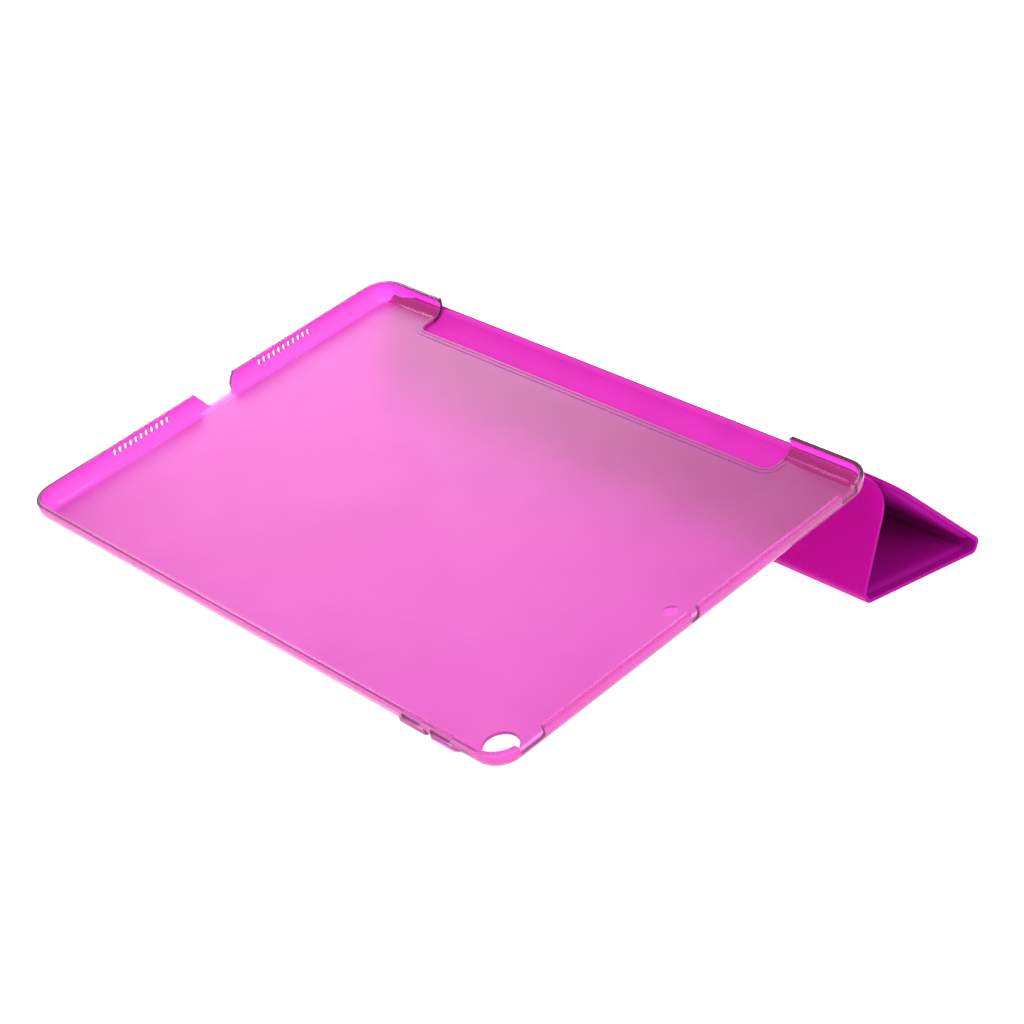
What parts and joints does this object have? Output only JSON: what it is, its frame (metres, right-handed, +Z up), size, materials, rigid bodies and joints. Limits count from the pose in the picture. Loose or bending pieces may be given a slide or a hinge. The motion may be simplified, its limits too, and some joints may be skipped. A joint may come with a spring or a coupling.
{
  "type": "folding tablet case",
  "caption": "Translucent hard tray for a tablet with a hinged, three-panel folding cover that forms a prism stand behind it.",
  "frame": {"origin": "on the table under the middle of the whole object's footprint, in the stand position shown", "axes": "+X along the tray's long side towards the button edge, +Y from the tray's low front edge to the prism behind it, +Z up from the table"},
  "size_m": [0.2534, 0.2322, 0.0507],
  "materials": {
    "shell": "translucent, slightly frosted polycarbonate with a glossy edge",
    "skin": "fine-grained polyurethane leather",
    "lining": "short-napped microfibre",
    "board": "pressed grey board",
    "steel": "bare thin steel strip",
    "magnet": "nickel plate",
    "tape": "thin adhesive film"
  },
  "bodies": {
    "tray": {"back_shell": "shell", "hinge_flap_skin": "skin", "hinge_flap_lining": "lining", "hinge_flap_tape": "tape"},
    "spine": {"spine_skin": "skin", "spine_lining": "lining"},
    "panel_1": {"panel_1_skin": "skin", "panel_1_board": "board", "panel_1_lining": "lining", "panel_1_keeper_strip": "steel"},
    "fold_strip_1": {"fold_strip_1_skin": "skin", "fold_strip_1_lining": "lining"},
    "panel_2": {"panel_2_skin": "skin", "panel_2_board": "board", "panel_2_lining": "lining"},
    "fold_strip_2": {"fold_strip_2_skin": "skin", "fold_strip_2_lining": "lining"},
    "panel_3": {"panel_3_skin": "skin", "panel_3_board": "board", "panel_3_lining": "lining", "panel_3_magnet_1": "magnet", "panel_3_magnet_2": "magnet", "panel_3_magnet_3": "magnet", "panel_3_magnet_4": "magnet", "panel_3_wake_magnet": "magnet"}
  },
  "joints": [
    {"name": "cover_hinge", "type": "hinge", "parent": "tray", "child": "spine", "pos_m": [0, 0.05749, 0.04587], "axis": [1, 0, 0], "range_deg": [0, 145.1]},
    {"name": "spine_crease", "type": "hinge", "parent": "spine", "child": "panel_1", "pos_m": [0, 0.06273, 0.04138], "axis": [1, 0, 0], "range_deg": [0, 152.5]},
    {"name": "fold_1_upper_crease", "type": "hinge", "parent": "panel_1", "child": "fold_strip_1", "pos_m": [0, 0.05305, 0.00391], "axis": [1, 0, 0], "range_deg": [-51.6, 0]},
    {"name": "fold_1_lower_crease", "type": "hinge", "parent": "fold_strip_1", "child": "panel_2", "pos_m": [0, 0.05592, 0.00031], "axis": [1, 0, 0], "range_deg": [-51.6, 0]},
    {"name": "fold_2_lower_crease", "type": "hinge", "parent": "panel_2", "child": "fold_strip_2", "pos_m": [0, 0.11462, 0.00031], "axis": [1, 0, 0], "range_deg": [-72.1, 0]},
    {"name": "fold_2_upper_crease", "type": "hinge", "parent": "fold_strip_2", "child": "panel_3", "pos_m": [0, 0.1161, 0.00487], "axis": [1, 0, 0], "range_deg": [-72.1, 0]}
  ],
  "couplings": [
    {"joint": "spine_crease", "follows": "cover_hinge", "ratio": 1.0503},
    {"joint": "fold_1_lower_crease", "follows": "cover_hinge", "ratio": -0.35493},
    {"joint": "fold_1_upper_crease", "follows": "cover_hinge", "ratio": -0.35493},
    {"joint": "fold_2_lower_crease", "follows": "cover_hinge", "ratio": -0.49621},
    {"joint": "fold_2_upper_crease", "follows": "cover_hinge", "ratio": -0.49621}
  ]
}
